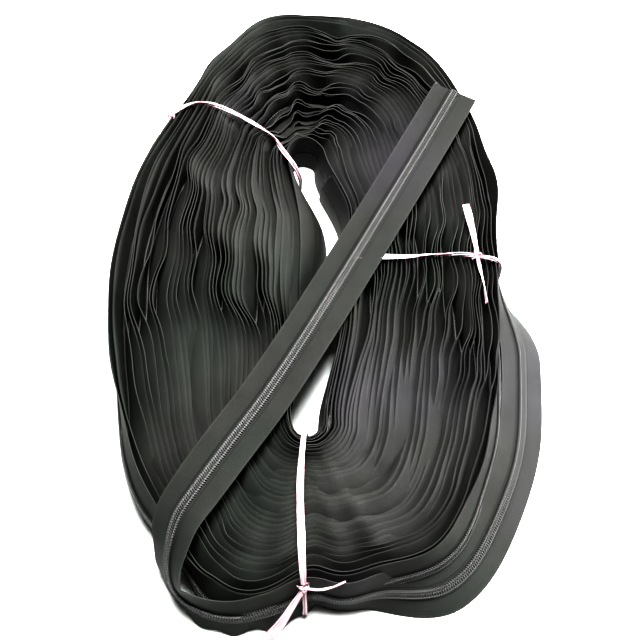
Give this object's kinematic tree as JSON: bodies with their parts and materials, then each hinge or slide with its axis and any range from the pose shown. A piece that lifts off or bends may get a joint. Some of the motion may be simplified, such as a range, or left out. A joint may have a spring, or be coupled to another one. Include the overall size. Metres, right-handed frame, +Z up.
{
  "type": "zipper chain hank",
  "caption": "Hank of continuous coil zipper chain wound on edge in a long oval, tied with flat ribbons, its free end laid across the top.",
  "frame": {"origin": "on the table, under the middle of the whole object's outline", "axes": "+X across the oval, with the free end running from -X at its fold to +X at its cut end; +Y along the oval, away from the tie on its near end; +Z up from the table"},
  "size_m": [0.2568, 0.4402, 0.0392],
  "materials": {
    "tape": "woven polyester tape, charcoal black, matt",
    "coil": "nylon monofilament coil, charcoal black, satin",
    "core_cord": "twisted polyester filler cord",
    "stitching": "polyester sewing thread",
    "ribbon": "pale pink flat split-film ribbon, soft sheen"
  },
  "bodies": {
    "hank": {"left_tape": "tape", "right_tape": "tape", "left_coil": "coil", "right_coil": "coil", "fold_left_tape": "tape", "fold_left_coil": "coil", "fold_right_tape": "tape", "fold_right_coil": "coil", "left_tie_loop": "ribbon", "left_tie_knot": "ribbon", "right_tie_loop": "ribbon", "right_tie_knot": "ribbon", "near_tie_loop": "ribbon", "near_tie_knot": "ribbon"},
    "lift_span": {"lift_span_left_tape": "tape", "lift_span_left_coil": "coil", "lift_span_left_core_cord": "core_cord", "lift_span_left_stitching": "stitching", "lift_span_right_tape": "tape", "lift_span_right_coil": "coil", "lift_span_right_core_cord": "core_cord", "lift_span_right_stitching": "stitching"},
    "tip_span": {"tip_span_left_tape": "tape", "tip_span_left_coil": "coil", "tip_span_left_core_cord": "core_cord", "tip_span_left_stitching": "stitching", "tip_span_right_tape": "tape", "tip_span_right_coil": "coil", "tip_span_right_core_cord": "core_cord", "tip_span_right_stitching": "stitching"}
  },
  "joints": [
    {"name": "free_end_lift", "type": "hinge", "parent": "hank", "child": "lift_span", "pos_m": [-0.08405, -0.16046, 0.0349], "axis": [0.8678, -0.497, 0], "range_deg": [0, 70]},
    {"name": "free_end_curl", "type": "hinge", "parent": "lift_span", "child": "tip_span", "pos_m": [0.00541, -0.00426, 0.0349], "axis": [0.8678, -0.497, 0], "range_deg": [0, 100]}
  ]
}
